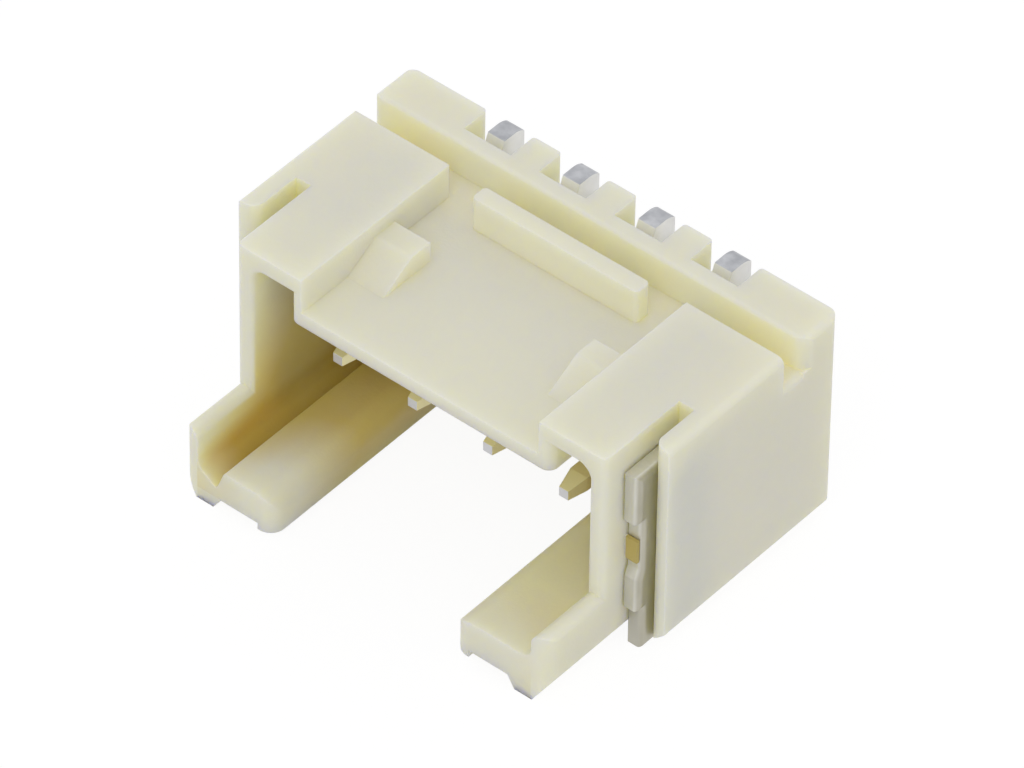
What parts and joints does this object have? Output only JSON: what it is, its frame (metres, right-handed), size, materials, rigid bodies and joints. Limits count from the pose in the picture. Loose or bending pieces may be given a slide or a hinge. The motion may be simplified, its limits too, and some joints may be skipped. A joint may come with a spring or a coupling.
{
  "type": "male connector housing",
  "caption": "Ivory right-angle surface-mount board header: a shrouded mouth over square pins, with side fitting nails and rear solder tails.",
  "frame": {"origin": "middle of the part's footprint on the board, at the height of the board", "axes": "+Z away from the board, -Y out of the mating mouth, +Y towards the solder tails, X along the row of pins; the pins, the nails and the outline are the same on both sides of X = 0, and the key groove is on the -X side"},
  "size_m": [0.0114, 0.0092, 0.0056],
  "materials": {
    "ivory_plastic": "satin moulded nylon, slightly translucent",
    "tinned_terminal": "copper alloy under bright tin plating",
    "tinned_nail": "copper alloy under matt tin plating"
  },
  "bodies": {
    "root": {"housing": "ivory_plastic", "terminal_1": "tinned_terminal", "terminal_2": "tinned_terminal", "terminal_3": "tinned_terminal", "terminal_4": "tinned_terminal", "fitting_nail_right": "tinned_nail", "fitting_nail_left": "tinned_nail"}
  },
  "joints": []
}
